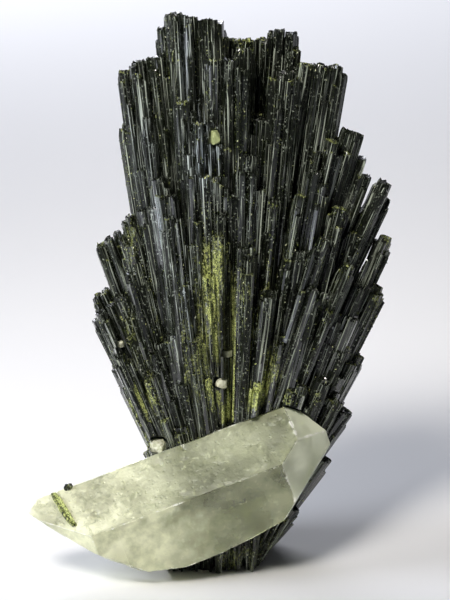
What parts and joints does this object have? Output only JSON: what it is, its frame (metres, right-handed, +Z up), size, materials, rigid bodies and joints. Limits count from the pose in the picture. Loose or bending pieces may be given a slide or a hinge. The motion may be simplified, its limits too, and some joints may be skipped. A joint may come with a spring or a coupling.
{
  "type": "epidote crystal cluster",
  "caption": "Free-standing mineral specimen: a stepped fan of dark green striated epidote prisms on a narrow foot, with a pale double-pointed quartz crystal across its front.",
  "frame": {"origin": "bottom centre of the specimen's bounding box, on the surface that the foot stands on", "axes": "+Z up along the fan, -Y towards the front where the quartz crystal lies, +X to the right as seen from the front"},
  "size_m": [0.0545, 0.03, 0.0838],
  "materials": {
    "epidote": "vitreous dark green-black crystal faces with fine lengthwise striations and a yellow-green dusting in the grooves",
    "quartz": "pale yellow-green clear quartz, frosted and pitted on the upper face, smooth on the others",
    "blade_epidote": "yellow-green thin epidote with dark edges",
    "feldspar": "off-white dull grains with small bright cleavage faces"
  },
  "bodies": {
    "root": {"epidote_fan": "epidote", "quartz_crystal": "quartz", "epidote_blade": "blade_epidote", "epidote_chip": "blade_epidote", "feldspar_grain_foot": "feldspar", "feldspar_grain_centre": "feldspar", "feldspar_grain_centre_small": "feldspar", "feldspar_grain_left": "feldspar", "feldspar_grain_upper": "feldspar"}
  },
  "joints": []
}
